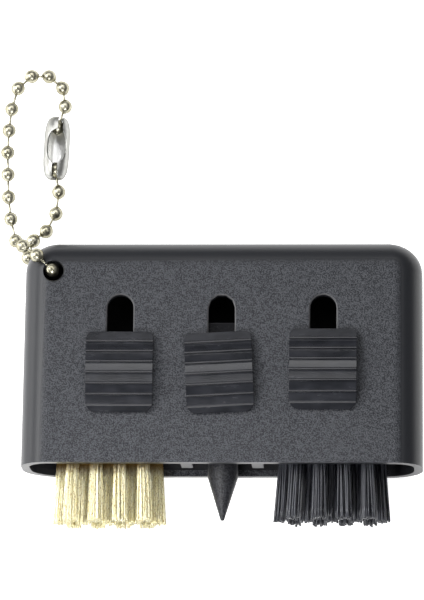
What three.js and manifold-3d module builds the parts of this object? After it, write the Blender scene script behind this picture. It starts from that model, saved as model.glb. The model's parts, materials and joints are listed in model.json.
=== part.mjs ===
// Golf club groove brush: a moulded housing with three thumb sliders that push a brass brush, a spike and a
// nylon brush out of its open mouth, and a ball chain through one corner.
//
// Millimetres. The tool lies on its back: +X to the right, +Y from the mouth towards the chain end,
// +Z out of the front face that carries the buttons. The origin is the middle of the housing's back face.

import * as THREE from 'three';
import { mergeVertices } from 'three/addons/utils/BufferGeometryUtils.js';
import Module from 'manifold-3d';

const wasm = await Module();
wasm.setup();

// ---------------------------------------------------------------- driving dimensions

const WIDTH = 70; // at the mouth
const HEIGHT = 39.7; // mouth to top, along Y
const DEPTH = 15; // back face to front face, along Z
const WALL = 1.5;
const DRAFT = THREE.MathUtils.degToRad(0.3); // each side wall leans in by this much
const FRONT_RADIUS = 5; // long edges of the front face
const BACK_RADIUS = 7; // long edges of the back face
const TOP = { alongX: 5.8, alongY: 5.2, frontZ: 4.6, backZ: 5.4 }; // rounding of the closed end
const GAP = 0.35; // running clearance between separate pieces

const MOUTH_Y = -HEIGHT / 2;
const TOP_Y = HEIGHT / 2;

const RIB = { inner: 5.2, outer: 7.2, recess: 0.8, depth: 8.4 }; // partitions between the three bays
const SLOT = { pitch: 17.7, width: 4.6, bottom: 12.6, top: 29.7, chamfer: 0.22 };
const CHAIN_HOLE = { x: -29.6, y: 14.2, radius: 1.8, chamfer: 0.25, rearFlare: 0.6 };

const BUTTON = {
  width: 11.7, length: 14.2, centre: 15.85, lift: 0.3, // centre is measured up from the mouth
  crown: 2.5, curve: 0.034, // height at the middle, and how fast the arch falls away
  ribs: 7, pitch: 1.9, firstRib: 5.25, groove: 0.42, grooveWidth: 0.3, lip: 0.24, facetDrop: 0.15,
  topRadius: 1.2, bottomRadius: 1.7, neckWidth: 3.9, neckLength: 5.4,
  barb: 0.55, barbWidth: 3.4, barbHeight: 1.4, barbTaper: 0.3,
};
const JOIN = 0.5; // how far two shapes that form one piece reach into each other
const CARRIER = {
  bottom: 2.25, top: 10, tongueTop: 20.5, tongueWidth: 9, tongueThickness: 2, // measured up from the mouth
};
const SPIKE = {
  radius: 2.65, tipRadius: 0.3, axisX: 0.15, axisZ: 7.5, coneStart: -1.2, tip: -8.85,
  baseTop: 8.2, tongueInset: 0.3, tongueStep: 23.45, tongueTop: 25.3, stepDown: 0.55,
};
const TUFT = {
  pitch: 4.1, rowSpacing: 3.6, midZ: 7.5, rows: [4, 5, 4],
  rootRadius: 1.0, faceRadius: 1.14, tipRadius: 1.5, tip: -9.85, rootTop: 6.5, // heights above the mouth
  spread: 0.6, holeRadius: 1.35, holeTop: 6.9, // spread is the length over which a tuft leaves its hole
};

// Each tool: where its slot is, where its button sits on its carrier, how far out it rests and, on a brush,
// where the middle of its field of tufts is.
const TOOLS = [
  { name: 'brass', side: -1, slotX: -SLOT.pitch, buttonX: 0.1, turn: 0, rest: 0, fieldX: -19.6 },
  { name: 'spike', side: 0, slotX: 0, buttonX: -0.25, turn: THREE.MathUtils.degToRad(2.9), rest: -0.1 },
  { name: 'nylon', side: 1, slotX: SLOT.pitch, buttonX: 0.05, turn: 0, rest: 0.55, fieldX: 19.2 },
];

const BEAD_RADIUS = 1.2;
const CONNECTOR = {
  length: 11.3, centre: [-30.6, 39.4, 2.45], lean: THREE.MathUtils.degToRad(2),
  // the barrel's two skins, as radius and distance inward from each end
  outside: [[0.8, 0], [1.4, 0.14], [1.78, 0.52], [2.02, 1.25], [2.2, 2.5], [2.28, 4.2]],
  inside: [[0.62, 0.32], [1.16, 0.46], [1.48, 0.76], [1.7, 1.4], [1.88, 2.55], [1.96, 4.2]],
  windowX: 0.25, windowWidth: 2.7, windowLength: 4.6, slit: 0.95, upperSlitX: 0.72, beadInset: 1.75,
};

// Bead centres in the order in which the chain runs, starting in the front mouth of the hole. The chain
// crosses the front corner, goes round its loop, comes back under itself and enters the hole from behind.
const CHAIN_ROUTE = [
  [-29.85, 14.5, 14.0],
  [-32.5, 16.85, 15.2],
  [-35.2, 19.0, 13.2],
  [-36.8, 20.7, 9.9],
  [-37.85, 24.9, 8.9],
  [-38.45, 29.1, 7.9],
  [-38.75, 33.5, 6.9],
  [-39.0, 37.8, 5.9],
  [-38.95, 42.1, 4.9],
  [-38.65, 46.3, 3.9],
  [-37.7, 50.4, 2.9],
  [-35.35, 52.85, 2.1],
  [-32.3, 52.95, 1.6],
  [-29.85, 50.85, 1.4],
  [-29.3, 47.35, 1.6],
  'upper end of the connector',
  'lower end of the connector',
  [-30.15, 31.6, 1.6],
  [-30.6, 27.7, 1.3],
  [-32.3, 24.5, 1.2],
  [-34.55, 22.75, 1.2],
  [-35.4, 19.65, 1.2],
  [-32.75, 17.35, 1.2],
  [-29.95, 14.55, 1.8],
  [-29.6, 14.2, 5.7],
  [-29.6, 14.2, 9.6],
];

// ---------------------------------------------------------------- materials

const finish = (color, roughness, metalness) => ({ color, roughness, metalness });
const FINISHES = {
  housing: finish('#35363a', 0.55, 0),
  button: finish('#2c2d30', 0.42, 0),
  carrier: finish('#222327', 0.5, 0),
  spike: finish('#2a2b2e', 0.5, 0),
  brass: finish('#d9cf93', 0.35, 1),
  nylon: finish('#26272a', 0.4, 0),
  steel: finish('#c9c7bd', 0.18, 1),
};

// ---------------------------------------------------------------- solids and booleans

const part = new THREE.Group();
const upFromMouth = (height) => MOUTH_Y + height;

function add(name, geometry, look) {
  const mesh = new THREE.Mesh(geometry, new THREE.MeshStandardMaterial(FINISHES[look]));
  mesh.name = name;
  part.add(mesh);
  return mesh;
}

const numbered = (name, index) => `${name}_${String(index + 1).padStart(2, '0')}`;

// A closed geometry with only positions, whose shared corners are merged.
function bare(geometry) {
  const copy = geometry.clone();
  for (const name of Object.keys(copy.attributes)) if (name !== 'position') copy.deleteAttribute(name);
  return mergeVertices(copy, 1e-4);
}

function solid(geometry) {
  const g = bare(geometry);
  return new wasm.Manifold(new wasm.Mesh({
    numProp: 3,
    vertProperties: new Float32Array(g.attributes.position.array),
    triVerts: new Uint32Array(g.index.array),
  }));
}

function geometryOf(manifold) {
  const mesh = manifold.getMesh();
  const g = new THREE.BufferGeometry();
  g.setAttribute('position', new THREE.BufferAttribute(Float32Array.from(mesh.vertProperties), 3));
  g.setIndex(Array.from(mesh.triVerts));
  return g;
}

// The closed skin through a row of rings, which all have the same number of points. Both ends are capped.
function skin(rings) {
  const count = rings[0].length;
  const centres = [rings[0], rings.at(-1)].map((ring) =>
    ring.reduce((sum, p) => sum.add(p), new THREE.Vector3()).divideScalar(count));
  const points = [...rings.flat(), ...centres];
  const faces = [];
  for (let r = 0; r + 1 < rings.length; r += 1) {
    for (let i = 0; i < count; i += 1) {
      const [a, b] = [r * count + i, r * count + ((i + 1) % count)];
      faces.push(a, b, b + count, a, b + count, a + count);
    }
  }
  const last = (rings.length - 1) * count;
  const [low, high] = [points.length - 2, points.length - 1];
  for (let i = 0; i < count; i += 1) {
    const next = (i + 1) % count;
    faces.push(low, next, i, high, last + i, last + next);
  }
  const g = new THREE.BufferGeometry().setFromPoints(points);
  g.setIndex(faces);
  return outward(g);
}

// Turns every face round when the body is inside out.
function outward(geometry) {
  const g = geometry.index ? geometry : mergeVertices(geometry);
  const p = g.attributes.position;
  const [a, b, c] = [0, 1, 2].map(() => new THREE.Vector3());
  let volume = 0;
  for (let i = 0; i < g.index.count; i += 3) {
    [a, b, c].forEach((v, k) => v.fromBufferAttribute(p, g.index.getX(i + k)));
    volume += a.dot(b.cross(c));
  }
  if (volume < 0) {
    for (let i = 0; i < g.index.count; i += 3) {
      const first = g.index.getX(i);
      g.index.setX(i, g.index.getX(i + 1));
      g.index.setX(i + 1, first);
    }
  }
  return g;
}

function box(x0, x1, y0, y1, z0, z1) {
  const g = new THREE.BoxGeometry(x1 - x0, y1 - y0, z1 - z0);
  return g.translate((x0 + x1) / 2, (y0 + y1) / 2, (z0 + z1) / 2);
}

// A solid of revolution about the Y axis, from [radius, y] pairs that start and end on the axis.
function turned(profile, segments) {
  return outward(bare(new THREE.LatheGeometry(profile.map(([r, y]) => new THREE.Vector2(r, y)), segments)));
}

// ---------------------------------------------------------------- housing

const CORNER_STEPS = 9;
const TOP_STEPS = 8;

// A rounded rectangle in the XZ plane at height y, as one ring of points.
function roundedSection(y, halfWidth, zBack, zFront, backRadius, frontRadius) {
  const corners = [
    [halfWidth - frontRadius, zFront - frontRadius, frontRadius, 0],
    [-halfWidth + frontRadius, zFront - frontRadius, frontRadius, 1],
    [-halfWidth + backRadius, zBack + backRadius, backRadius, 2],
    [halfWidth - backRadius, zBack + backRadius, backRadius, 3],
  ];
  return corners.flatMap(([x, z, radius, quarter]) => Array.from({ length: CORNER_STEPS + 1 }, (_, i) => {
    const angle = (Math.PI / 2) * (quarter + i / CORNER_STEPS);
    return new THREE.Vector3(x + radius * Math.cos(angle), y, z + radius * Math.sin(angle));
  }));
}

// The outside of the housing, or that form drawn in by a wall thickness, from startY to the closed end.
function housingForm(inset, startY) {
  const shoulderY = TOP_Y - TOP.alongY;
  const halfWidthAt = (y) => WIDTH / 2 - (y - MOUTH_Y) * Math.tan(DRAFT) - inset;
  const round = (size, share) => Math.max(size - inset, 0.5) * share;
  const ringAt = (y, share) => {
    const [sideIn, frontIn, backIn] = [TOP.alongX, TOP.frontZ, TOP.backZ].map((size) => round(size, share));
    return roundedSection(
      y,
      halfWidthAt(y) - sideIn,
      inset + backIn,
      DEPTH - inset - frontIn,
      Math.max(BACK_RADIUS - inset - backIn, 0.4),
      Math.max(FRONT_RADIUS - inset - frontIn, 0.4),
    );
  };
  const rings = [ringAt(startY, 0)];
  for (let i = 0; i <= TOP_STEPS; i += 1) {
    const angle = (Math.PI / 2) * (i / TOP_STEPS);
    rings.push(ringAt(shoulderY + (TOP.alongY - inset) * Math.sin(angle), 1 - Math.cos(angle)));
  }
  return solid(skin(rings));
}

// A slot outline with round ends, lying in the XY plane at height z and grown by margin.
function slotRing(x, z, margin, topSteps) {
  const radius = SLOT.width / 2;
  const [low, high] = [upFromMouth(SLOT.bottom) + radius, upFromMouth(SLOT.top) - radius];
  const end = (y, start, steps) => Array.from({ length: steps + 1 }, (_, i) => {
    const angle = start + (Math.PI * i) / steps;
    const reach = radius + margin;
    return new THREE.Vector3(x + reach * Math.cos(angle), y + reach * Math.sin(angle), z);
  });
  return [...end(high, 0, topSteps), ...end(low, Math.PI, 12)];
}

function slotCutter(x, topSteps) {
  return solid(skin([
    slotRing(x, DEPTH - WALL - 1, 0, topSteps),
    slotRing(x, DEPTH - SLOT.chamfer, 0, topSteps),
    slotRing(x, DEPTH + 0.02, SLOT.chamfer + 0.02, topSteps),
    slotRing(x, DEPTH + 0.5, SLOT.chamfer + 0.02, topSteps),
  ]));
}

function chainHoleCutter() {
  const { x, y, radius, chamfer, rearFlare } = CHAIN_HOLE;
  const [wideFront, wideRear] = [radius + chamfer, radius + rearFlare];
  const along = [
    [0, -1], [wideRear, -1], [wideRear, 0], [radius, rearFlare],
    [radius, DEPTH - chamfer], [wideFront, DEPTH], [wideFront, DEPTH + 1], [0, DEPTH + 1],
  ];
  return solid(turned(along, 28).rotateX(Math.PI / 2).translate(x, y, 0));
}

function housing() {
  let cavity = housingForm(WALL, MOUTH_Y - 1);
  const ribFrontZ = DEPTH - WALL;
  for (const side of [-1, 1]) {
    const [low, high] = [side * RIB.inner, side * RIB.outer].sort((a, b) => a - b);
    const rib = box(low, high, MOUTH_Y + RIB.recess, TOP_Y, ribFrontZ - RIB.depth, ribFrontZ + 1);
    cavity = cavity.subtract(solid(rib));
  }
  let shell = housingForm(0, MOUTH_Y).subtract(cavity).subtract(chainHoleCutter());
  for (const tool of TOOLS) shell = shell.subtract(slotCutter(tool.slotX, tool.side === 0 ? 5 : 12));
  return geometryOf(shell);
}

// ---------------------------------------------------------------- sliding tools

// The button's side view in the YZ plane: an arch of ribs, each a facet that ends in a small lip and a step.
function buttonProfile() {
  const base = DEPTH + BUTTON.lift;
  const arch = (y) => DEPTH + BUTTON.crown - BUTTON.curve * y * y;
  const half = BUTTON.length / 2;
  const points = [[half, base], [half, arch(half)]];
  for (let i = 0; i < BUTTON.ribs; i += 1) {
    const ridge = BUTTON.firstRib - i * BUTTON.pitch;
    const crest = arch(ridge);
    points.push(
      [ridge + BUTTON.lip + 0.1, arch(ridge + BUTTON.lip) - BUTTON.facetDrop],
      [ridge + BUTTON.lip, crest],
      [ridge, crest],
    );
    const floor = crest - BUTTON.groove;
    if (i < BUTTON.ribs - 1) points.push([ridge - 0.1, floor], [ridge - 0.1 - BUTTON.grooveWidth, floor]);
  }
  points.push([-half, base + 0.15], [-half, base]);
  return points;
}

// The button's outline in the XY plane, with its own corner radius at each end.
function buttonOutline() {
  const [w, h] = [BUTTON.width / 2, BUTTON.length / 2];
  const { topRadius: top, bottomRadius: bottom } = BUTTON;
  const outline = new THREE.Shape();
  outline.moveTo(-w + bottom, -h).lineTo(w - bottom, -h);
  outline.absarc(w - bottom, -h + bottom, bottom, -Math.PI / 2, 0);
  outline.absarc(w - top, h - top, top, 0, Math.PI / 2);
  outline.absarc(-w + top, h - top, top, Math.PI / 2, Math.PI);
  outline.absarc(-w + bottom, -h + bottom, bottom, Math.PI, Math.PI * 1.5);
  return outline;
}

// The neck runs through the slot and through the carrier's tongue, and its barbs hook behind the tongue.
// The cap can sit slightly turned on its neck, which stays square in its window.
function button(turn) {
  const side = new THREE.Shape(buttonProfile().map(([y, z]) => new THREE.Vector2(y, z)));
  const ribbed = new THREE.ExtrudeGeometry(side, { depth: 2 * BUTTON.width, bevelEnabled: false });
  ribbed.applyMatrix4(new THREE.Matrix4().makeBasis(
    new THREE.Vector3(0, 1, 0), new THREE.Vector3(0, 0, 1), new THREE.Vector3(1, 0, 0),
  )).translate(-BUTTON.width, 0, 0);
  const plan = new THREE.ExtrudeGeometry(buttonOutline(), {
    depth: DEPTH, bevelEnabled: false, curveSegments: 6,
  }).translate(0, 0, DEPTH / 2);
  const [ribs, outline] = [ribbed, plan].map((shape) => solid(shape.rotateZ(turn)));

  const tongueBack = DEPTH - WALL - GAP - CARRIER.tongueThickness;
  const barbTop = tongueBack - GAP;
  const [neckHalf, barbHalf] = [BUTTON.neckWidth / 2, BUTTON.neckWidth / 2 + BUTTON.barb];
  const neck = new THREE.ExtrudeGeometry(neckOutline(), {
    depth: DEPTH + BUTTON.lift - barbTop + 2 * JOIN, bevelEnabled: false, curveSegments: 8,
  }).translate(0, 0, barbTop - JOIN);
  const [endHalf, barbEnd] = [neckHalf - BUTTON.barbTaper, barbTop - BUTTON.barbHeight];
  const hook = new THREE.Shape([
    [-barbHalf, barbTop], [-endHalf, barbEnd], [endHalf, barbEnd], [barbHalf, barbTop],
  ].map(([x, z]) => new THREE.Vector2(x, z)));
  const barbs = new THREE.ExtrudeGeometry(hook, { depth: BUTTON.barbWidth, bevelEnabled: false });
  barbs.rotateX(Math.PI / 2).translate(0, BUTTON.barbWidth / 2, 0);
  return geometryOf(ribs.intersect(outline).add(solid(neck)).add(solid(barbs)));
}

// The neck's section in the XY plane, with round ends that fit the slot's.
function neckOutline() {
  const [radius, straight] = [BUTTON.neckWidth / 2, (BUTTON.neckLength - BUTTON.neckWidth) / 2];
  const outline = new THREE.Shape();
  outline.absarc(0, straight, radius, 0, Math.PI);
  outline.absarc(0, -straight, radius, Math.PI, Math.PI * 2);
  return outline;
}

// The window in a tongue that the button's neck snaps through.
function neckWindow(x, zBack) {
  const [halfX, halfY] = [BUTTON.neckWidth / 2 + GAP, BUTTON.neckLength / 2 + GAP];
  const y = upFromMouth(BUTTON.centre);
  return solid(box(x - halfX, x + halfX, y - halfY, y + halfY, zBack - 1, DEPTH));
}

const TUFT_PLACES = TUFT.rows.flatMap((count, row) => Array.from({ length: count }, (_, i) => ({
  x: (i - (count - 1) / 2) * TUFT.pitch,
  z: TUFT.midZ + (1 - row) * TUFT.rowSpacing,
})));

// A brush carrier: a block across its bay, with a blind hole for each tuft and a tongue for the button.
function brushCarrier(tool) {
  const [bottom, top] = [upFromMouth(CARRIER.bottom), upFromMouth(CARRIER.top)];
  const zFront = DEPTH - WALL - GAP;
  const zBack = WALL + GAP;
  const halfWidth = WIDTH / 2 - WALL - GAP - HEIGHT * Math.tan(DRAFT);
  const [frontRadius, backRadius] = [FRONT_RADIUS - WALL - GAP, BACK_RADIUS - WALL - GAP];
  const across = solid(skin([bottom, top].map((y) =>
    roundedSection(y, halfWidth, zBack, zFront, backRadius, frontRadius))));
  const bay = [tool.side * (RIB.outer + GAP), tool.side * WIDTH].sort((a, b) => a - b);
  let body = across.intersect(solid(box(bay[0], bay[1], bottom - 1, top + 1, 0, DEPTH)));

  const tongue = box(
    tool.slotX - CARRIER.tongueWidth / 2, tool.slotX + CARRIER.tongueWidth / 2,
    top - JOIN, upFromMouth(CARRIER.tongueTop), zFront - CARRIER.tongueThickness, zFront,
  );
  body = body.add(solid(tongue));
  body = body.subtract(neckWindow(tool.slotX + tool.buttonX, zFront - CARRIER.tongueThickness));
  for (const place of TUFT_PLACES) {
    const hole = new THREE.CylinderGeometry(TUFT.holeRadius, TUFT.holeRadius, TUFT.holeTop, 14);
    hole.translate(tool.fieldX + place.x, upFromMouth(TUFT.holeTop / 2), place.z);
    body = body.subtract(solid(hole));
  }
  return geometryOf(body);
}

// The spike and its carrier are one moulding.
function spikeCarrier(tool) {
  const zFront = DEPTH - WALL - GAP;
  const halfBay = RIB.inner - GAP;
  const base = box(
    -halfBay, halfBay, upFromMouth(CARRIER.bottom), upFromMouth(SPIKE.baseTop), WALL + GAP, zFront,
  );
  const tongueBack = zFront - CARRIER.tongueThickness;
  const halfTongue = halfBay - SPIKE.tongueInset;
  const [tongueLow, tongueHigh] = [upFromMouth(SPIKE.baseTop) - JOIN, upFromMouth(SPIKE.tongueTop)];
  const tongue = box(-halfTongue, halfTongue, tongueLow, tongueHigh, tongueBack, zFront);
  const step = box(-halfBay, halfBay, upFromMouth(SPIKE.tongueStep),
    upFromMouth(SPIKE.tongueTop) + 1, zFront - SPIKE.stepDown, zFront + 1);
  const point = turned([
    [0, upFromMouth(SPIKE.tip)],
    [SPIKE.tipRadius, upFromMouth(SPIKE.tip)],
    [SPIKE.radius, upFromMouth(SPIKE.coneStart)],
    [SPIKE.radius, upFromMouth(CARRIER.bottom) + JOIN],
    [0, upFromMouth(CARRIER.bottom) + JOIN],
  ], 40).translate(SPIKE.axisX, 0, SPIKE.axisZ);
  return geometryOf(solid(base).add(solid(tongue)).subtract(solid(step)).add(solid(point))
    .subtract(neckWindow(tool.buttonX, tongueBack)));
}

// One tuft: narrow where it is anchored in its hole, and slightly spread at the tips.
function tuft() {
  const [tip, face, root] = [TUFT.tip, CARRIER.bottom, TUFT.rootTop].map(upFromMouth);
  return turned([
    [0, tip], [TUFT.tipRadius, tip], [TUFT.faceRadius, face - TUFT.spread], [TUFT.rootRadius, face],
    [TUFT.rootRadius, root], [0, root],
  ], 12);
}

function addTool(tool) {
  const carrier = tool.side === 0 ? spikeCarrier(tool) : brushCarrier(tool);
  add(`${tool.name}_carrier`, carrier, tool.side === 0 ? 'spike' : 'carrier').position.y = tool.rest;
  const thumb = add(`${tool.name}_button`, button(tool.turn), 'button');
  thumb.position.set(tool.slotX + tool.buttonX, upFromMouth(BUTTON.centre) + tool.rest, 0);
  if (tool.side === 0) return;
  TUFT_PLACES.forEach((place, i) => {
    const mesh = add(numbered(`${tool.name}_tuft`, i), tuft(), tool.name);
    mesh.position.set(tool.fieldX + place.x, tool.rest, place.z);
  });
}

// ---------------------------------------------------------------- ball chain and its connector

// The connector is a drawn sheet barrel about Y with a window at the front and a slit out of each end.
function connector() {
  const { outside, inside, windowX, windowWidth, windowLength, slit, upperSlitX } = CONNECTOR;
  const half = CONNECTOR.length / 2;
  const past = half + 1;
  const bothEnds = (profile) => [
    ...profile.map(([r, inward]) => [r, half - inward]),
    ...profile.map(([r, inward]) => [r, inward - half]).reverse(),
  ];
  const barrel = turned([[0, half], ...bothEnds(outside), [0, -half]], 28);
  const neck = inside[0][0]; // the link passes through this hole in each end
  const hollow = turned([[0, past], [neck, past], ...bothEnds(inside), [neck, -past], [0, -past]], 28);
  const front = 2 * outside.at(-1)[0];
  const window = box(
    windowX - windowWidth / 2, windowX + windowWidth / 2, -windowLength / 2, windowLength / 2, slit, front,
  );
  const slitFrom = (x, y0, y1) => solid(box(x - slit / 2, x + slit / 2, y0, y1, 0, front));
  return geometryOf(solid(barrel).subtract(solid(hollow)).subtract(solid(window))
    .subtract(slitFrom(upperSlitX, 0, past)).subtract(slitFrom(0, -past, 0)));
}

function addChain() {
  const axis = new THREE.Vector3(Math.sin(CONNECTOR.lean), Math.cos(CONNECTOR.lean), 0);
  const centre = new THREE.Vector3(...CONNECTOR.centre);
  const captured = CONNECTOR.length / 2 - CONNECTOR.beadInset;
  const heldBeads = [1, -1].map((end) => centre.clone().addScaledVector(axis, end * captured));
  CHAIN_ROUTE.forEach((place, i) => {
    const at = typeof place === 'string' ? heldBeads.shift() : new THREE.Vector3(...place);
    const bead = add(numbered('bead', i), new THREE.SphereGeometry(BEAD_RADIUS, 12, 8), 'steel');
    bead.position.copy(at);
  });
  const barrel = add('chain_connector', connector(), 'steel');
  barrel.position.copy(centre);
  barrel.rotation.z = -CONNECTOR.lean;
}

// ---------------------------------------------------------------- assembly

add('housing', housing(), 'housing');
TOOLS.forEach(addTool);
addChain();

export default part;
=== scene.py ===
import json
import math
import random

import bmesh
import bpy
from mathutils import Matrix, Vector


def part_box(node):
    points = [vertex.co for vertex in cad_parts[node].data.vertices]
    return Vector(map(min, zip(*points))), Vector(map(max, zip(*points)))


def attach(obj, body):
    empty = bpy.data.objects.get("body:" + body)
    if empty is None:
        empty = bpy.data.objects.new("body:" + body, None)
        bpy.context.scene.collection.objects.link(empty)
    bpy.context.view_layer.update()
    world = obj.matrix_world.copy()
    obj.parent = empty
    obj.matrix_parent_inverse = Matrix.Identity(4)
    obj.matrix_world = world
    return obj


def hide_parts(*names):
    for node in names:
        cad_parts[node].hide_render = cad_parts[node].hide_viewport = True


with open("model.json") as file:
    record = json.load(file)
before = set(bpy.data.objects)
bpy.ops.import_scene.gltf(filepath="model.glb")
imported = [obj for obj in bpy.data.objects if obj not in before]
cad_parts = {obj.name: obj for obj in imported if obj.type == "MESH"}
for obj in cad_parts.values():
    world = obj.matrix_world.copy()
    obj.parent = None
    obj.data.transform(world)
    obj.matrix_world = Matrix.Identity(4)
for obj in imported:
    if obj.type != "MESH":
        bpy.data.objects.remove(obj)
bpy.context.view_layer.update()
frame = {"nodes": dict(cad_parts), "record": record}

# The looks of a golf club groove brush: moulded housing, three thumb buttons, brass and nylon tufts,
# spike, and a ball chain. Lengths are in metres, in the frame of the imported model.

MM = 0.001
HOUSING_LOW, HOUSING_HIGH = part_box("housing")
MOUTH_Y = HOUSING_LOW.y
FRONT_Z = HOUSING_HIGH.z

TOOLS = ("brass", "spike", "nylon")
TUFTS_PER_BRUSH = 13
BEADS = 26
CONNECTOR_BEADS = (16, 17)  # the two beads that the connector holds, with no link between them
HOUSING_BEADS = set(frame["record"]["behaviour"]["bodies"]["housing"])


# ------------------------------------------------------------------ camera, floor and lights

CAMERA_TARGET = Vector((-1.70 * MM, MOUTH_Y + 28.73 * MM, FRONT_Z))
CAMERA_DISTANCE = 0.8
CAMERA_YAW = math.radians(3.39)
CAMERA_PITCH = math.radians(12.55)
CAMERA_LENS_MM = 275.5
FLOOR_GAP = 0.05 * MM  # keeps the floor clear of the housing's back face
FLOOR_REACH = 1.5
FLOOR_GLOW = 0.85
SURROUND = (0.17, 0.172, 0.175, 1)

# Name, lean to the right and up in degrees, distance, width, height and radiance of each light.
LIGHTS = (
    ("key_top", -3, 35, 0.6, 0.50, 0.25, 3.5),
    ("side_left", -42, 8, 0.6, 0.32, 0.34, 7.5),
    ("side_right", 26, 8, 0.6, 0.18, 0.30, 2.2),
    ("low_left", -14, -40, 0.12, 0.052, 0.044, 13.0),
    ("left_strip", -80, 0, 0.5, 0.15, 0.60, 4.5),
)


def direction(right, up):
    """The unit vector that leans by these angles from +Z towards +X and then towards +Y."""
    return Vector((math.sin(right) * math.cos(up), math.sin(up), math.cos(right) * math.cos(up)))


def add_camera():
    towards_camera = direction(CAMERA_YAW, -CAMERA_PITCH)
    data = bpy.data.cameras.new("camera")
    data.lens = CAMERA_LENS_MM
    data.clip_start, data.clip_end = 0.05, 10
    camera = bpy.data.objects.new("camera", data)
    bpy.context.scene.collection.objects.link(camera)
    up = Vector((0, towards_camera.z, -towards_camera.y)).normalized()  # keeps the X axis level in the view
    side = up.cross(towards_camera)
    camera.matrix_world = Matrix.Translation(CAMERA_TARGET + towards_camera * CAMERA_DISTANCE) @ Matrix(
        (side, up, towards_camera)).transposed().to_4x4()
    bpy.context.scene.camera = camera


def softbox(name, lean_right, lean_up, distance, width, height, radiance):
    """A rectangular light that faces the object. Its brightness seen from the object is its radiance."""
    data = bpy.data.lights.new(name, "AREA")
    data.shape = "RECTANGLE"
    data.size, data.size_y = width, height
    data.energy = radiance * math.pi * width * height
    light = bpy.data.objects.new(name, data)
    bpy.context.scene.collection.objects.link(light)
    back = direction(math.radians(lean_right), math.radians(lean_up))
    side = Vector((0, 1, 0)).cross(back).normalized()
    centre = Vector((0, 0, FRONT_Z / 2))
    light.matrix_world = Matrix.Translation(centre + back * distance) @ Matrix(
        (side, back.cross(side), back)).transposed().to_4x4()


def add_studio():
    bpy.context.scene.view_settings.view_transform = "Standard"
    world = bpy.data.worlds.new("studio")
    world.use_nodes = True
    world.node_tree.nodes["Background"].inputs["Color"].default_value = SURROUND
    bpy.context.scene.world = world

    for light in LIGHTS:
        softbox(*light)

    floor_mesh = bpy.data.meshes.new("floor")
    reach, z = FLOOR_REACH, -FLOOR_GAP
    floor_mesh.from_pydata([(-reach, -reach, z), (reach, -reach, z), (reach, reach, z), (-reach, reach, z)],
                           [], [(0, 1, 2, 3)])
    floor = bpy.data.objects.new("floor", floor_mesh)
    bpy.context.scene.collection.objects.link(floor)
    paper = Shader("floor_paper", color=(0.92, 0.92, 0.92), roughness=0.9)
    paper.set("Emission Color", (1, 1, 1, 1))
    paper.set("Emission Strength", FLOOR_GLOW)
    floor_mesh.materials.append(paper.material)


# ------------------------------------------------------------------ materials

class Shader:
    """A Principled material and short ways to add nodes to it."""

    def __init__(self, name, color, roughness, metallic=0.0, specular=0.5):
        self.material = bpy.data.materials.new(name)
        self.material.use_nodes = True
        self.tree = self.material.node_tree
        self.surface = self.tree.nodes["Principled BSDF"]
        self.set("Base Color", (*color, 1))
        self.set("Roughness", roughness)
        self.set("Metallic", metallic)
        self.set("Specular IOR Level", specular)

    def set(self, socket, value):
        self.surface.inputs[socket].default_value = value

    def link(self, source, target):
        self.tree.links.new(source, target)

    def node(self, kind, inputs=None, **settings):
        made = self.tree.nodes.new(kind)
        for key, value in settings.items():
            setattr(made, key, value)
        for key, value in (inputs or {}).items():
            if isinstance(value, bpy.types.NodeSocket):
                self.link(value, made.inputs[key])
            else:
                made.inputs[key].default_value = value
        return made

    def place(self, stretch=(1, 1, 1)):
        """Coordinates on the object, squeezed by stretch along each axis."""
        source = self.node("ShaderNodeTexCoord").outputs["Object"]
        return self.node("ShaderNodeMapping", {"Vector": source, "Scale": stretch}).outputs["Vector"]

    def noise(self, size, where=None, detail=2.0, rough=0.5):
        """Noise with features of about this size in metres."""
        inputs = {"Vector": where or self.place(), "Scale": 1 / size, "Detail": detail, "Roughness": rough}
        return self.node("ShaderNodeTexNoise", inputs).outputs["Fac"]

    def remap(self, value, low, high, to_low=0.0, to_high=1.0):
        inputs = {"Value": value, "From Min": low, "From Max": high, "To Min": to_low, "To Max": to_high}
        return self.node("ShaderNodeMapRange", inputs).outputs["Result"]

    def times(self, first, second):
        return self.node("ShaderNodeMath", {0: first, 1: second}, operation="MULTIPLY").outputs["Value"]

    def plus(self, first, second):
        return self.node("ShaderNodeMath", {0: first, 1: second}, operation="ADD").outputs["Value"]

    def larger(self, first, second):
        return self.node("ShaderNodeMath", {0: first, 1: second}, operation="MAXIMUM").outputs["Value"]

    def inverse(self, share):
        return self.remap(share, 0, 1, 1.0, 0.0)

    def axis(self, letter, kind="Object"):
        source = self.node("ShaderNodeTexCoord").outputs[kind]
        return self.node("ShaderNodeSeparateXYZ", {"Vector": source}).outputs[letter]

    def within(self, letter, low, high, edge=0.1 * MM):
        """1 between low and high along an axis of the object, falling to 0 over a short edge."""
        along = self.axis(letter)
        rising = self.remap(along, low - edge, low)
        return self.times(rising, self.remap(along, high, high + edge, 1.0, 0.0))

    def blend(self, factor, dark, light):
        made = self.node("ShaderNodeMix", {"Factor": factor}, data_type="RGBA")
        for key, colour in (("A", dark), ("B", light)):
            socket = next(s for s in made.inputs if s.name == key and s.type == "RGBA")
            if isinstance(colour, bpy.types.NodeSocket):
                self.link(colour, socket)
            else:
                socket.default_value = (*colour, 1)
        return next(s for s in made.outputs if s.type == "RGBA")

    def colour(self, source):
        self.link(source, self.surface.inputs["Base Color"])

    def rough(self, source):
        self.link(source, self.surface.inputs["Roughness"])

    def bump(self, height, depth):
        """Relief of this depth in metres where height is 1."""
        made = self.node("ShaderNodeBump", {"Height": height, "Distance": depth, "Strength": 1.0})
        self.link(made.outputs["Normal"], self.surface.inputs["Normal"])


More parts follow.
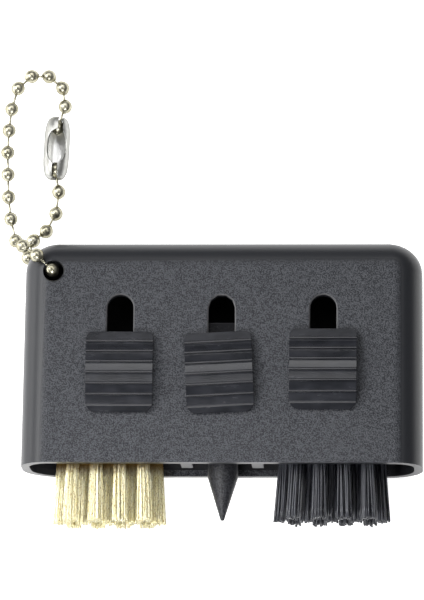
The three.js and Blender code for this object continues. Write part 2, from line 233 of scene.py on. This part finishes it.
BAY_SIDE = 2.2 * MM  # the painted shade inside the bays starts this far in from the sides, closed end and front face
BAY_START = 1.2 * MM  # and this far in from the mouth
WALL_CORE = 1.1 * MM  # and this far in from the back face, or twice as far near the rounded edges
SLOTS_REACH = 22 * MM  # the three slots lie within this distance of the middle
SLOTS_TOP = 10.7 * MM  # and below this height


def housing_plastic():
    """Black ABS: spark-eroded grain on the front face, smoother on the rounded edges, with a painted
    highlight on the slot chamfers and painted shade in the bays.
    """
    look = Shader("housing_plastic", (0.045, 0.046, 0.05), 0.5, specular=0.35)
    on_front = look.remap(look.axis("Z", "Normal"), 0.955, 0.998)
    grain = look.noise(0.23 * MM, detail=2.0, rough=0.55)
    coarse = look.noise(0.9 * MM, look.place(stretch=(1, 1.6, 1)), detail=1.0)
    relief = look.plus(grain, look.times(coarse, 0.25))
    peaks = look.remap(relief, 0.53, 0.72)
    grained = look.blend(peaks, (0.003, 0.0042, 0.008), (0.058, 0.061, 0.070))
    skin = look.blend(on_front, (0.013, 0.014, 0.017), grained)
    # Painted highlight: the chamfers round the slots are coloured pale, as lit edges.
    chamfer_highlight = look.times(
        look.within("Z", FRONT_Z - 0.25 * MM, FRONT_Z),
        look.times(look.within("X", -SLOTS_REACH, SLOTS_REACH), look.within("Y", -SLOTS_REACH, SLOTS_TOP)))
    rims = look.times(chamfer_highlight, look.inverse(on_front))
    skin = look.blend(rims, skin, (0.08, 0.08, 0.084))
    # Painted shade: the insides of the bays behind the mouth are coloured near-black, as if unlit.
    behind_mouth = look.within("Y", HOUSING_LOW.y + BAY_START, HOUSING_HIGH.y - BAY_SIDE)
    bay_shade = 0.0
    for in_from_side, in_from_back in ((BAY_SIDE, 2 * WALL_CORE), (2 * BAY_SIDE, WALL_CORE)):
        across = look.within("X", HOUSING_LOW.x + in_from_side, HOUSING_HIGH.x - in_from_side)
        deep = look.within("Z", HOUSING_LOW.z + in_from_back, HOUSING_HIGH.z - BAY_SIDE)
        bay_shade = look.larger(bay_shade, look.times(behind_mouth, look.times(across, deep)))
    look.colour(look.blend(bay_shade, skin, (0.008, 0.008, 0.010)))
    look.rough(look.remap(look.times(on_front, peaks), 0, 1, 0.36, 0.55))
    outside = look.inverse(bay_shade)
    look.bump(look.times(relief, look.times(outside, look.remap(on_front, 0, 1, 0.06, 1.0))), 0.16 * MM)
    return look.material


RIBS = {"first": 5.25 * MM, "pitch": 1.9 * MM, "lip": 0.24 * MM}  # measured along the cap from its middle
CAP_TURN = {"brass": 0.0, "spike": math.radians(2.9), "nylon": 0.0}  # how far each cap is turned on its neck


def button_plastic(tool):
    """Black ABS from a polished tool, with faint drag lines along the ribs and a painted highlight along the
    lips of the ribs.
    """
    look = Shader(f"{tool}_button_plastic", (0.024, 0.025, 0.028), 0.3, specular=0.4)
    drag = look.noise(0.5 * MM, look.place(stretch=(0.12, 1, 1)), detail=3.0, rough=0.65)
    mottle = look.noise(2.4 * MM, look.place(stretch=(0.6, 1, 1)), detail=2.0)
    skin = look.blend(look.remap(mottle, 0.35, 0.65), (0.010, 0.011, 0.014), (0.018, 0.019, 0.024))
    low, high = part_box(f"{tool}_button")
    unturn = Matrix.Rotation(-CAP_TURN[tool], 3, "Z")
    on_cap = look.node("ShaderNodeMapping", {
        "Vector": look.node("ShaderNodeTexCoord").outputs["Object"],
        "Rotation": (0, 0, -CAP_TURN[tool]),
        "Location": -(unturn @ ((low + high) / 2)),
    }).outputs["Vector"]
    along = look.node("ShaderNodeSeparateXYZ", {"Vector": on_cap}).outputs["Y"]
    past_ridge = look.node("ShaderNodeMath", {0: look.plus(along, -RIBS["first"]), 1: RIBS["pitch"]},
                           operation="FLOORED_MODULO").outputs["Value"]
    # Painted highlight: a pale line just past each rib's ridge, as a lit lip.
    lip_highlight = look.remap(past_ridge, 0.6 * RIBS["lip"], RIBS["lip"], 1.0, 0.0)
    past_first = RIBS["first"] + RIBS["pitch"] / 2
    ribbed = look.remap(along, past_first, RIBS["first"] + RIBS["pitch"], 1.0, 0.0)
    look.colour(look.blend(look.times(lip_highlight, ribbed), skin, (0.05, 0.05, 0.054)))
    look.rough(look.remap(look.plus(drag, mottle), 0.7, 1.3, 0.17, 0.28))
    look.bump(look.noise(0.22 * MM, detail=2.0), 0.012 * MM)
    return look.material


def carrier_plastic():
    look = Shader("carrier_plastic", (0.012, 0.012, 0.014), 0.45)
    cloud = look.noise(1.5 * MM, detail=3.0)
    look.colour(look.blend(cloud, (0.009, 0.009, 0.011), (0.016, 0.016, 0.019)))
    look.rough(look.remap(cloud, 0.3, 0.7, 0.38, 0.52))
    look.bump(look.noise(0.3 * MM), 0.012 * MM)
    return look.material


def spike_plastic(face_y):
    """The grained point, and the tongue behind it, which is painted dark as shade inside its slot."""
    look = Shader("spike_plastic", (0.03, 0.03, 0.033), 0.45, specular=0.35)
    grain = look.noise(0.30 * MM, detail=2.0)
    point = look.blend(look.remap(grain, 0.35, 0.65), (0.003, 0.003, 0.005), (0.034, 0.035, 0.040))
    # Painted shade: the tongue, down in its slot, is coloured darker than the point.
    tongue = look.remap(look.axis("Y"), face_y + 4 * MM, face_y + 8 * MM)
    look.colour(look.blend(tongue, point, (0.006, 0.006, 0.008)))
    look.rough(look.plus(look.remap(grain, 0.3, 0.7, 0.34, 0.5), look.times(tongue, -0.22)))
    look.bump(look.times(grain, look.inverse(tongue)), 0.09 * MM)
    return look.material


def brass_wire(roots_y):
    """Pale brass, painted browner near the holes as shade, with painted shade specks among the crimps and a
    tone of its own on each wire.
    """
    look = Shader("brass_wire", (0.92, 0.84, 0.56), 0.34, metallic=0.85)
    each = look.noise(0.2 * MM, look.place(stretch=(1, 0.04, 1)), detail=1.0)
    wires = look.blend(look.remap(each, 0.35, 0.65), (0.94, 0.86, 0.52), (1.0, 0.98, 0.78))
    # Painted shade: brown specks among the crimps, as shade between glinting wires.
    crimps = look.noise(0.24 * MM, look.place(stretch=(1.4, 0.6, 1)), detail=2.0)
    crimp_shade_specks = look.blend(look.remap(crimps, 0.32, 0.44), (0.46, 0.33, 0.12), wires)
    # Painted shade: the wires darken to brown towards their roots by the mouth.
    root_shade = look.remap(look.axis("Y"), roots_y - 3.6 * MM, roots_y - 1.6 * MM)
    look.colour(look.blend(root_shade, crimp_shade_specks, (0.34, 0.21, 0.07)))
    look.rough(look.remap(look.noise(0.5 * MM), 0.3, 0.7, 0.28, 0.42))
    look.bump(look.noise(0.08 * MM), 0.003 * MM)
    return look.material


def nylon_filament():
    look = Shader("nylon_filament", (0.03, 0.03, 0.036), 0.3)
    each = look.noise(0.35 * MM, look.place(stretch=(1, 0.03, 1)), detail=1.0)
    look.colour(look.blend(look.remap(each, 0.35, 0.65), (0.014, 0.015, 0.020), (0.060, 0.063, 0.074)))
    look.rough(look.remap(each, 0.3, 0.7, 0.22, 0.36))
    look.bump(look.noise(0.25 * MM, look.place(stretch=(1, 0.1, 1))), 0.006 * MM)
    return look.material


def nickel(name, worn, bright, edge, smooth, dull, inner=None):
    """Nickel plate, slightly clouded, that darkens to its edge tint where it turns away.

    inner is (x, z, reach) of a hollow whose back, under z and within reach of x, is painted near-white as a
    highlight. Both faces of that back are, so the outer one looks nearly white when the piece is turned over.
    """
    look = Shader(name, bright, smooth, metallic=1.0)
    look.set("Specular Tint", (*edge, 1))
    cloud = look.noise(0.9 * MM, detail=3.0)
    plate = look.blend(look.remap(cloud, 0.35, 0.65), worn, bright)
    if inner:
        x, z, reach = inner
        back = look.times(look.within("X", x - reach, x + reach), look.within("Z", 0, z))
        # Painted highlight: the hollow's back is coloured near-white.
        plate = look.blend(back, plate, (1.0, 1.0, 0.99))
    look.colour(plate)
    look.rough(look.remap(cloud, 0.3, 0.7, smooth, dull))
    look.bump(look.noise(0.25 * MM, detail=2.0), 0.004 * MM)
    return look.material


# ------------------------------------------------------------------ pieces

def add_piece(name, verts, faces, material, body, replaced=()):
    mesh = bpy.data.meshes.new(name)
    mesh.from_pydata(verts, [], faces)
    mesh.shade_smooth()
    piece = bpy.data.objects.new(name, mesh)
    bpy.context.scene.collection.objects.link(piece)
    return fit_piece(piece, material, body, replaced)


def fit_piece(piece, material, body, replaced=()):
    piece.data.materials.clear()
    piece.data.materials.append(material)
    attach(piece, body)
    if replaced:
        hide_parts(*replaced)
    return piece


MERGE = 0.002 * MM  # points closer than this are one point
FLAT = math.radians(0.5)  # faces that turn less than this are one face
SHARP = math.radians(28)  # edges that turn more than this are rounded off


def softened_copy(node, name, width, body, material):
    """A copy of a CAD node whose sharp edges are rounded off and whose curved faces are shaded smooth."""
    copy = bpy.data.objects.new(name, frame["nodes"][node].data.copy())
    bpy.context.scene.collection.objects.link(copy)
    mesh = bmesh.new()
    mesh.from_mesh(copy.data)
    bmesh.ops.remove_doubles(mesh, verts=mesh.verts, dist=MERGE)
    bmesh.ops.dissolve_limit(
        mesh, angle_limit=FLAT, verts=mesh.verts, edges=mesh.edges, delimit={"NORMAL"})
    mesh.to_mesh(copy.data)
    mesh.free()
    copy.data.shade_smooth()
    bevel = copy.modifiers.new("edges", "BEVEL")
    bevel.width, bevel.segments = width, 2
    bevel.limit_method, bevel.angle_limit = "ANGLE", SHARP
    bevel.use_clamp_overlap = True
    shading = copy.modifiers.new("shading", "WEIGHTED_NORMAL")
    shading.keep_sharp = False
    shading.weight = 80
    return fit_piece(copy, material, body, [node])


def tube_strands(strands, sides):
    """Points and faces of round strands. A strand is a list of (point, radius), closed at both ends."""
    verts, faces = [], []
    for strand in strands:
        first = len(verts)
        last = len(strand) - 1
        for k, (point, radius) in enumerate(strand):
            along = strand[min(k + 1, last)][0] - strand[max(k - 1, 0)][0]
            side = along.orthogonal().normalized() * radius
            other = along.normalized().cross(side)
            for s in range(sides):
                angle = math.tau * s / sides
                verts.append(point + side * math.cos(angle) + other * math.sin(angle))
        for k in range(last):
            for s in range(sides):
                a, b = first + k * sides + s, first + k * sides + (s + 1) % sides
                faces.append((a, b, b + sides, a + sides))
        faces.append(tuple(first + s for s in reversed(range(sides))))
        faces.append(tuple(first + last * sides + s for s in range(sides)))
    return verts, faces


# ------------------------------------------------------------------ housing, carriers, spike and buttons

EDGE = 0.05 * MM  # how much of a sharp edge is rounded off
CARRIER_EDGE = 0.10 * MM


def add_mouldings():
    plastic = housing_plastic()
    softened_copy("housing", "housing_moulding", EDGE, "housing", plastic)
    inner = carrier_plastic()
    point = spike_plastic(MOUTH_Y)
    for tool in TOOLS:
        body = f"{tool}_tool"
        softened_copy(f"{tool}_button", f"{tool}_thumb_button", EDGE, body, button_plastic(tool))
        is_spike = tool == "spike"
        softened_copy(
            f"{tool}_carrier", f"{tool}_sliding_carrier", CARRIER_EDGE, body,
            point if is_spike else inner)


# ------------------------------------------------------------------ tufts

TUFT_SEED = 7
GOLDEN_ANGLE = math.pi * (3 - math.sqrt(5))
# lean is the angle in radians by which a strand may drift round its tuft, and splay how far the outer
# tufts fan out, as a share of their distance from the middle of the field.
BRASS = {"count": 88, "radius": 0.078 * MM, "sides": 4, "steps": 36, "crimp": 0.045 * MM, "wave": 1.5 * MM,
         "uneven": 0.34 * MM, "lean": 0.40, "splay": 0.05}
NYLON = {"count": 30, "radius": 0.16 * MM, "sides": 6, "steps": 5, "crimp": 0.0, "wave": 1.0,
         "uneven": 0.42 * MM, "lean": 0.48, "splay": 0.08}
ROOT_SHARE = 0.72  # a tuft's radius at its hole, as a share of its radius at the tips
IN_HOLE = 1.5 * MM  # how far the strands are drawn into their hole
MIDDLE_ROW_ENDS = (5, 9)  # the first and last tuft of the row of five
TURN_JITTER = 0.25  # radians by which a strand leaves its place in the spiral
NARROWEST = 0.93  # share of its place's radius to which a strand's tip may draw in
WAVE_JITTER = 0.15  # share by which a strand's waves may be longer or shorter
STRAY = 4  # the power that makes strands much shorter than the rest rare
FLARE = 0.85  # below 1, a tuft spreads sooner after its hole
CRIMP_ONSET = 6  # the crimp is full after one part in this many of the free length


def tuft_strands(node, field_x, face_y, kind, rng):
    """The wires of one tuft. They leave a round hole side by side and spread towards the tips."""
    low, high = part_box(node)
    middle = Vector(((low.x + high.x) / 2, 0, (low.z + high.z) / 2))
    tip_radius = (high.x - low.x) / 2 - kind["radius"]
    root_radius = ROOT_SHARE * tip_radius
    root_y = face_y + IN_HOLE
    splay = Vector(((middle.x - field_x) * kind["splay"], 0, 0))  # outer tufts fan out
    strands = []
    for i in range(kind["count"]):
        share = math.sqrt((i + 0.5) / kind["count"])
        angle = i * GOLDEN_ANGLE + rng.uniform(-TURN_JITTER, TURN_JITTER)
        drift = angle + rng.uniform(-kind["lean"], kind["lean"])
        tip_y = low.y + rng.uniform(0, kind["uneven"]) + kind["uneven"] * rng.random() ** STRAY
        tip_share = share * rng.uniform(NARROWEST, 1.0)
        start = Vector((math.cos(angle), 0, math.sin(angle))) * share * root_radius
        end = Vector((math.cos(drift), 0, math.sin(drift))) * tip_share * tip_radius
        wave_to = rng.uniform(0, math.tau)
        crimp = Vector((math.cos(wave_to), 0, math.sin(wave_to))) * kind["crimp"]
        phase = rng.uniform(0, math.tau)
        wave = kind["wave"] * rng.uniform(1 - WAVE_JITTER, 1 + WAVE_JITTER)
        strand = []
        for k in range(kind["steps"] + 1):
            t = k / kind["steps"]
            y = root_y + (tip_y - root_y) * t
            free = max(0.0, (face_y - y) / (face_y - tip_y))
            bend = crimp * math.sin(math.tau * y / wave + phase) * min(1, free * CRIMP_ONSET)
            point = middle + start.lerp(end, free ** FLARE) + bend + splay * free
            point.y = y
            strand.append((point, kind["radius"]))
        strands.append(strand)
    return strands


def add_tufts():
    rng = random.Random(TUFT_SEED)
    brass_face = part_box("brass_carrier")[0].y
    nylon_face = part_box("nylon_carrier")[0].y
    brushes = (
        ("brass", BRASS, brass_face, brass_wire(brass_face), "brass_wire"),
        ("nylon", NYLON, nylon_face, nylon_filament(), "nylon_filament"),
    )
    for tool, kind, face_y, material, slot in brushes:
        ends = [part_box(f"{tool}_tuft_{i:02d}") for i in MIDDLE_ROW_ENDS]
        field_x = (ends[0][0].x + ends[1][1].x) / 2
        for i in range(1, TUFTS_PER_BRUSH + 1):
            node = f"{tool}_tuft_{i:02d}"
            verts, faces = tube_strands(tuft_strands(node, field_x, face_y, kind, rng), kind["sides"])
            add_piece(f"{tool}_bundle_{i:02d}", verts, faces, material, f"{tool}_tool", [node])


# ------------------------------------------------------------------ ball chain

BEAD_SIDES = 28
BEAD_RINGS = 18
BEAD_COLLAR = 0.24  # radius of the flat at each end, as a share of the bead's
BEAD_POINT = 0.08  # how far the ends are drawn out, as a share of the bead's radius
LINK_RADIUS = 0.2 * MM
LINK_SIDES = 10
LINK_STOPS = (0.1, 0.5, 0.9)  # along the way from one bead's centre to the next


def body_of_bead(number):
    return "housing" if f"bead_{number:02d}" in HOUSING_BEADS else "chain_loop"


def bead_centre(number):
    low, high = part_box(f"bead_{number:02d}")
    return (low + high) / 2


def bead_profile(radius):
    """(distance along the chain, radius) of a rolled bead: a ball drawn to a short collar at each end."""
    collar = BEAD_COLLAR * radius
    points = []
    for k in range(BEAD_RINGS + 1):
        angle = math.pi * k / BEAD_RINGS
        ball = radius * math.sin(angle)
        along = -radius * math.cos(angle)
        reach = abs(along) / radius
        points.append((along * (1 + BEAD_POINT * reach ** 6), max(ball, collar)))
    return points


def turned_about(centre, axis, profile, sides):
    """Points and faces of a solid of revolution about an axis, closed at both ends."""
    side = axis.orthogonal().normalized()
    other = axis.cross(side)
    verts, faces = [], []
    for along, radius in profile:
        for s in range(sides):
            angle = math.tau * s / sides
            verts.append(centre + axis * along + (side * math.cos(angle) + other * math.sin(angle)) * radius)
    for k in range(len(profile) - 1):
        for s in range(sides):
            a, b = k * sides + s, k * sides + (s + 1) % sides
            faces.append((a, b, b + sides, a + sides))
    faces.append(tuple(reversed(range(sides))))
    faces.append(tuple((len(profile) - 1) * sides + s for s in range(sides)))
    return verts, faces


def add_chain():
    metal = nickel("bead_nickel", (0.34, 0.32, 0.23), (0.52, 0.50, 0.40), (0.34, 0.33, 0.28), 0.28, 0.38)
    centres = {n: bead_centre(n) for n in range(1, BEADS + 1)}
    low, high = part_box("bead_05")
    radius = (high.z - low.z) / 2
    for number, centre in centres.items():
        before = centres[number - 1 if number > 1 else BEADS]
        after = centres[number + 1 if number < BEADS else 1]
        axis = (after - before).normalized()
        verts, faces = turned_about(centre, axis, bead_profile(radius), BEAD_SIDES)
        add_piece(f"chain_bead_{number:02d}", verts, faces, metal, body_of_bead(number),
                  [f"bead_{number:02d}"])
    for number, start in centres.items():
        following = number + 1 if number < BEADS else 1
        if (number, following) == CONNECTOR_BEADS:
            continue
        run = centres[following] - start
        verts, faces = tube_strands([[(start + run * t, LINK_RADIUS) for t in LINK_STOPS]], LINK_SIDES)
        body = "housing" if "housing" in (body_of_bead(number), body_of_bead(following)) else "chain_loop"
        add_piece(f"chain_link_{number:02d}", verts, faces, metal, body)


# The connector's barrel, from its ends to its middle. Sideways places are measured from its axis.
BARREL = {"end_radius": 0.8 * MM, "rounded": 4.2 * MM, "fall": 2.5, "swell": 1 / 2.6, "sheet": 0.28 * MM}
WINDOW = {"middle": 0.15 * MM, "half_width": 1.75 * MM, "half_length": 3.1 * MM, "fullness": 2.4}
SLIT = {"upper": 0.72 * MM, "lower": 0.0, "half_width": 0.475 * MM}
WINDOW_COLUMNS = (3, 2, 3)  # left of the slit, the slit and right of it
BACK_COLUMNS = 40
WINDOW_ROWS = 20
STEEPEST = 0.94  # sine of the furthest that a cut reaches round the narrow ends
END_ROWS = 14
END_CROWDING = 1.8  # above 1, the rows lie closer together towards the ends
WINDOW_TO_SLIT = math.radians(6)
BARREL_IN_BOX = 0.985  # the barrel leans by two degrees, so its box is a little wider than it is
WINDOW_BACK = {"drop": 0.6 * MM, "reach": 1.6 * MM}  # the back seen through the window, painted near-white as a highlight
RIM = 0.05 * MM
RIM_ANGLE = math.radians(40)  # edges of the sheet that turn more than this are rounded off


def barrel_columns(y, radius):
    """The angles round the barrel at one height, with columns along the edges of the window and slit."""
    slit_middle = SLIT["upper"] if y > 0 else SLIT["lower"]

    def turn(x):
        return math.asin(max(-STEEPEST, min(STEEPEST, x / radius)))

    slit_left, slit_right = (turn(slit_middle + side * SLIT["half_width"]) for side in (-1, 1))
    fullness = WINDOW["fullness"]
    opening = max(0.0, 1 - abs(y / WINDOW["half_length"]) ** fullness) ** (1 / fullness)
    reach = WINDOW["half_width"] * opening
    margin = WINDOW_TO_SLIT * (1 - opening)
    left = min(turn(WINDOW["middle"] - reach), slit_left - margin)
    right = max(turn(WINDOW["middle"] + reach), slit_right + margin)
    stops = (left, slit_left, slit_right, right, left + math.tau)
    angles = []
    for start, end, count in zip(stops, stops[1:], (*WINDOW_COLUMNS, BACK_COLUMNS)):
        angles += [start + (end - start) * i / count for i in range(count)]
    return angles


def add_connector():
    """The connector: a sheet barrel about its two beads, open at the front and slit out of each end."""
    upper, lower = (bead_centre(number) for number in CONNECTOR_BEADS)
    axis = (upper - lower).normalized()
    front = Vector((0, 0, 1))
    side = axis.cross(front)
    low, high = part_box("chain_connector")
    half_length, half_width = (high.y - low.y) / 2, (high.x - low.x) / 2 * BARREL_IN_BOX
    middle = (upper + lower) / 2

    closing = half_length - WINDOW["half_length"]
    end_rows = [half_length - closing * (i / END_ROWS) ** END_CROWDING for i in range(END_ROWS + 1)]
    window_rows = [WINDOW["half_length"] * math.cos(math.pi * i / WINDOW_ROWS) for i in range(1, WINDOW_ROWS)]
    heights = end_rows + window_rows + [-y for y in reversed(end_rows)]

    verts, faces = [], []
    for y in heights:
        share = min(1.0, (half_length - abs(y)) / BARREL["rounded"])
        swell = (1 - (1 - share) ** BARREL["fall"]) ** BARREL["swell"]
        radius = BARREL["end_radius"] + (half_width - BARREL["end_radius"]) * swell
        angles = barrel_columns(y, radius)
        verts += [middle + axis * y + (side * math.sin(a) + front * math.cos(a)) * radius for a in angles]
    count = sum(WINDOW_COLUMNS) + BACK_COLUMNS
    slit = range(WINDOW_COLUMNS[0], WINDOW_COLUMNS[0] + WINDOW_COLUMNS[1])
    window = range(sum(WINDOW_COLUMNS))
    for row, (above, below) in enumerate(zip(heights, heights[1:])):
        in_window = abs(above + below) / 2 < WINDOW["half_length"]
        for column in range(count):
            if column in (window if in_window else slit):
                continue
            a, b = row * count + column, row * count + (column + 1) % count
            faces.append((a, a + count, b + count, b))

    plate = nickel("connector_nickel", (0.40, 0.40, 0.38), (0.50, 0.50, 0.48), (0.34, 0.34, 0.33), 0.34, 0.44,
                   inner=(middle.x, middle.z - WINDOW_BACK["drop"], WINDOW_BACK["reach"]))
    barrel = add_piece("snap_connector", verts, faces, plate, "connector",
                       ["chain_connector"])
    sheet = barrel.modifiers.new("sheet", "SOLIDIFY")
    sheet.thickness, sheet.offset = BARREL["sheet"], -1
    rims = barrel.modifiers.new("rims", "BEVEL")
    rims.width, rims.segments = RIM, 2
    rims.limit_method, rims.angle_limit = "ANGLE", RIM_ANGLE


# ------------------------------------------------------------------ the whole

add_camera()
add_studio()
add_mouldings()
add_tufts()
add_chain()
add_connector()
